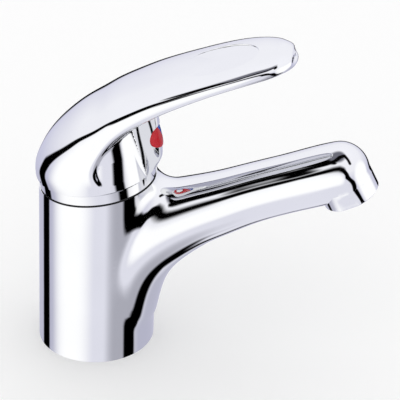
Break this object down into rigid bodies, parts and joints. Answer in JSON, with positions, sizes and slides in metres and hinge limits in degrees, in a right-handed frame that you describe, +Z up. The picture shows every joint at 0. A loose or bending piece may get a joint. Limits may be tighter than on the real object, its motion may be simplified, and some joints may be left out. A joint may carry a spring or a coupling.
{
  "type": "single-lever basin mixer faucet",
  "caption": "Chromed single-lever mixer faucet for a bathroom basin, with a round leg, a rising spout, a tilted aerator and an arched lever.",
  "frame": {"origin": "centre of the round base, on the deck that the faucet stands on", "axes": "+Z up; the spout points along -Y; the hot side and the red half of the index are at -X"},
  "size_m": [0.0516, 0.1444, 0.144],
  "materials": {
    "chrome": "polished chrome plating on brass and zinc",
    "black_rubber": "moulded rubber",
    "brass": "machined brass",
    "cartridge_plastic": "glass-filled plastic",
    "slide_plastic": "acetal",
    "ceramic": "lapped ceramic",
    "steel": "stainless steel",
    "index_plastic": "moulded plastic",
    "red_plastic": "gloss plastic",
    "blue_plastic": "gloss plastic",
    "aerator_plastic": "moulded plastic"
  },
  "bodies": {
    "fixed": {"body": "chrome", "foot_seal": "black_rubber", "cap_ring": "chrome", "cartridge_nut": "brass", "cartridge_housing": "cartridge_plastic", "cartridge_base": "cartridge_plastic", "inlet_seals": "black_rubber", "outflow_seal": "black_rubber", "fixed_disc": "ceramic", "aerator_housing": "chrome", "aerator_washer": "black_rubber", "aerator_insert": "aerator_plastic", "aerator_mixer": "aerator_plastic"},
    "turret": {"turret": "slide_plastic", "turret_seal": "black_rubber", "pivot_pin": "steel"},
    "lever": {"handle": "chrome", "stem": "brass", "set_screw": "steel", "index_plug": "index_plastic", "index_red": "red_plastic", "index_blue": "blue_plastic"},
    "disc": {"disc_carrier": "slide_plastic", "moving_disc": "ceramic"}
  },
  "joints": [
    {"name": "lever_turn", "type": "hinge", "parent": "fixed", "child": "turret", "pos_m": [0, -0.002, 0.0784], "axis": [0, 0.1115, 0.9938], "range_deg": [-50, 50]},
    {"name": "lever_lift", "type": "hinge", "parent": "turret", "child": "lever", "pos_m": [0, -0.00249, 0.07407], "axis": [-1, 0, 0], "range_deg": [0, 25]},
    {"name": "disc_slide", "type": "slide", "parent": "turret", "child": "disc", "axis": [0, -0.9938, 0.1115], "range_m": [0, 0.00262]}
  ],
  "couplings": [
    {"joint": "disc_slide", "follows": "lever_lift", "m_per_rad": 0.006}
  ]
}
